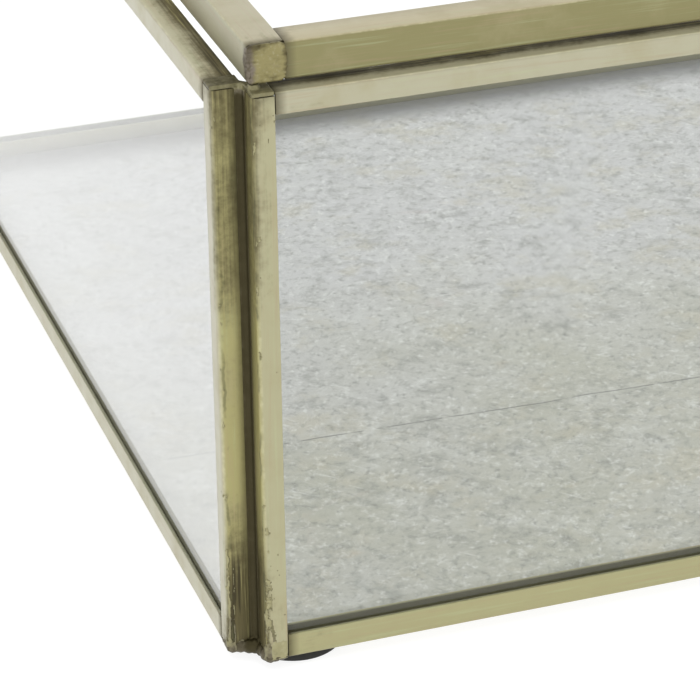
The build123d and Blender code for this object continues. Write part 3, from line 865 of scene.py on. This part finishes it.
bump = add(tree, "ShaderNodeBump", {}, {"Height": lines, "Strength": 0.25, "Distance": 0.03 * MM})
shader = {"Base Color": colour, "Metallic": 1.0, "Roughness": rough, "Normal": bump}
add(tree, "ShaderNodeOutputMaterial", {}, {"Surface": add(tree, *SURFACE, shader)})
for hand in ("left", "right"):
    for piece in ("outer_tube", "inner_tube", "pin", "lid_tube"):
        body = "lid" if piece == "lid_tube" else "base"
        soften(f"hinge_{hand}_{piece}", 0.12 * MM, tube_brass, body, "brass")

# ---------------------------------------------------------------------------------------------
# Lid
# A pane in a deeper, wider came. The side rails run from front to back with solder in their
# open ends, and the front and back rails butt between them.
# ---------------------------------------------------------------------------------------------
lid_brass = strip_brass("folded strip brass, deep lid section", "#beb493", "#878259")
# The last numbers in each row are painted sheen: the side rails are painted paler than the front and back
# ones, for the way light falls on them.
lid_members = {
    "lid_left_rail": ((1, 0, 0), (0, 1, 0), (0.4, 0.6)),
    "lid_right_rail": ((-1, 0, 0), (0, 1, 0), (0.4, 0.6)),
    "lid_front_rail": ((0, 1, 0), (1, 0, 0), (0.1, 0)),
    "lid_back_rail": ((0, -1, 0), (1, 0, 0), (0.1, 0)),
}
for name, (mouth, run, painted_sheen) in lid_members.items():
    make_strip(name, mouth, run, RAIL_FOLD, lid_brass, "lid", "lid_came", 0, LID_GAP, painted_sheen=painted_sheen)

coat(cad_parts["lid_glass"].data, float_glass("clear float glass, 4 mm", "#fdfefd", 0.04))

end_metal = soft_solder("soft solder, filed at the lid corners", "#938b60", "#7d7467", "#463e28")
for number, corner in enumerate(CORNERS):
    node = f"lid_solder_{corner}"
    low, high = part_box(node)
    out_x, out_y = CORNERS[corner][2:]
    edge_x = low.x if out_x < 0 else high.x
    inner_x = high.x if out_x < 0 else low.x
    face_y = low.y if out_y < 0 else high.y
    lumps = [merged_copy(node)]
    # Solder drawn round the outer upright edge, and a low upright bead at the front rail's butt.
    for rise, lap, swell in ((1.3, 0.7, 1.1), (2.6, 1.5, 1.2), (3.6, 1.1, 1.0)):
        lumps.append(
            bead(
                (edge_x - out_x * 0.2 * MM, face_y - out_y * (0.15 + lap / 2) * MM, low.z + rise * MM),
                (0.36 * MM, (0.3 + lap / 2) * MM, swell * MM),
            )
        )
    upright = (inner_x, face_y - out_y * 0.12 * MM, (low.z + high.z) / 2)
    lumps.append(bead(upright, (0.42 * MM, 0.2 * MM, 2.3 * MM)))
    mesh = melt(node, lumps, 0.11 * MM)
    points = coords(mesh)
    dent = 0.07 * rough_field(points / MM * (1, 1, 1.6), 1.4, 3, 20.0 + number)
    points = dented(mesh, points, dent)
    points[:, 2] = np.clip(points[:, 2], low.z, high.z)
    mesh.vertices.foreach_set("co", points.ravel())
    from_outer = (edge_x - points[:, 0]) * out_x / MM
    from_inner = (points[:, 0] - inner_x) * out_x / MM
    from_top = (high.z - points[:, 2]) / MM
    from_foot = (points[:, 2] - low.z) / MM
    stain = rough_field(points / MM, 0.75, 3, 31.0 + number)
    strokes = rough_field(points / MM * (0.35, 1, 1), 2.6, 2, 37.0 + number)
    outer_edge = np.clip(1 - from_outer / (1.3 + 0.5 * stain), 0, 1) * np.clip(from_foot / 1.5, 0.4, 1)
    inner_edge = np.clip(1 - np.abs(from_inner + 0.25 + 0.3 * stain) / 0.6, 0, 1)
    top_edge = np.clip(1 - from_top / (0.7 + 0.3 * stain), 0, 1)
    hollow = 0.05 + 0.22 * strokes + 0.35 * (outer_edge + top_edge) + 0.4 * inner_edge
    hollow = np.clip(hollow + 0.25 * np.clip(stain, 0, 1), 0, 0.8)
    mark(mesh, {"hollow": hollow, "film": np.clip(0.05 + from_outer / 1.6, 0, 0.8)})
    smooth(mesh)
    coat(mesh, end_metal)
    show(f"{node}_fill", mesh, "lid", [node])

# ---------------------------------------------------------------------------------------------
# Studio
# A plain white table that runs out of sight, white surroundings and one large soft lamp above.
# ---------------------------------------------------------------------------------------------
laminate, tree = new_material("white table laminate")
place = add(tree, "ShaderNodeTexCoord").outputs["Object"]
fine = add(tree, *NOISE, {"Vector": place, "Scale": 300.0, "Detail": 2.0})
rough = add(tree, *RANGE, {0: fine, 3: 0.6, 4: 0.7})
lit = {"Emission Color": linear("#ffffff"), "Emission Strength": 0.88}
shader = add(tree, *SURFACE, {"Base Color": linear("#7c7c7c"), "Roughness": rough, **lit})
add(tree, "ShaderNodeOutputMaterial", {}, {"Surface": shader})
TABLE_HALF = 3.0
table_mesh = bpy.data.meshes.new("table")
table_corners = [(x * TABLE_HALF, y * TABLE_HALF, 0.0) for x, y in ((-1, -1), (1, -1), (1, 1), (-1, 1))]
table_mesh.from_pydata(table_corners, [], [(0, 1, 2, 3)])
coat(table_mesh, laminate)
table = bpy.data.objects.new("table", table_mesh)
bpy.context.scene.collection.objects.link(table)

world = bpy.data.worlds.new("white studio")
world.use_nodes = True
world.node_tree.nodes.clear()
sky = add(world.node_tree, "ShaderNodeBackground", {}, {"Color": (1.0, 1.0, 1.0, 1.0), "Strength": 1.0})
add(world.node_tree, "ShaderNodeOutputWorld", {}, {"Surface": sky.outputs[0]})
bpy.context.scene.world = world

lamp_data = bpy.data.lights.new("overhead softbox", "AREA")
lamp_data.shape = "RECTANGLE"
lamp_data.size = 1.4
lamp_data.size_y = 1.0
lamp_data.energy = 10.0
lamp = bpy.data.objects.new("overhead softbox", lamp_data)
lamp.visible_glossy = False
lamp.location = (-0.25, -0.35, 1.3)
lamp.rotation_euler = (Vector((0, 0, 0.03)) - lamp.location).to_track_quat("-Z", "Y").to_euler()
bpy.context.scene.collection.objects.link(lamp)

# Camera: near the front left corner, looking down on it, with a long lens.
corner_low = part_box("front_bottom_rail")[0]
stile_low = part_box("front_left_stile")[0]
meet = Vector((stile_low.x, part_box("front_bottom_rail")[1].y, corner_low.z))
CAMERA_OFFSET = Vector((-101.995, -343.766, 228.244)) * MM
LOOK_RIGHT, LOOK_DOWN, ROLL = math.radians(18.511), math.radians(27.336), math.radians(-0.755)
eye = bpy.data.cameras.new("camera")
eye.sensor_width = 36.0
eye.lens = 168.16
eye.clip_start = 0.02
eye.clip_end = 20.0
camera = bpy.data.objects.new("camera", eye)
camera.matrix_world = (
    Matrix.Translation(meet + CAMERA_OFFSET)
    @ Matrix.Rotation(-LOOK_RIGHT, 4, "Z")
    @ Matrix.Rotation(math.pi / 2 - LOOK_DOWN, 4, "X")
    @ Matrix.Rotation(ROLL, 4, "Z")
)
bpy.context.scene.collection.objects.link(camera)
bpy.context.scene.camera = camera
bpy.context.scene.view_settings.view_transform = "Standard"
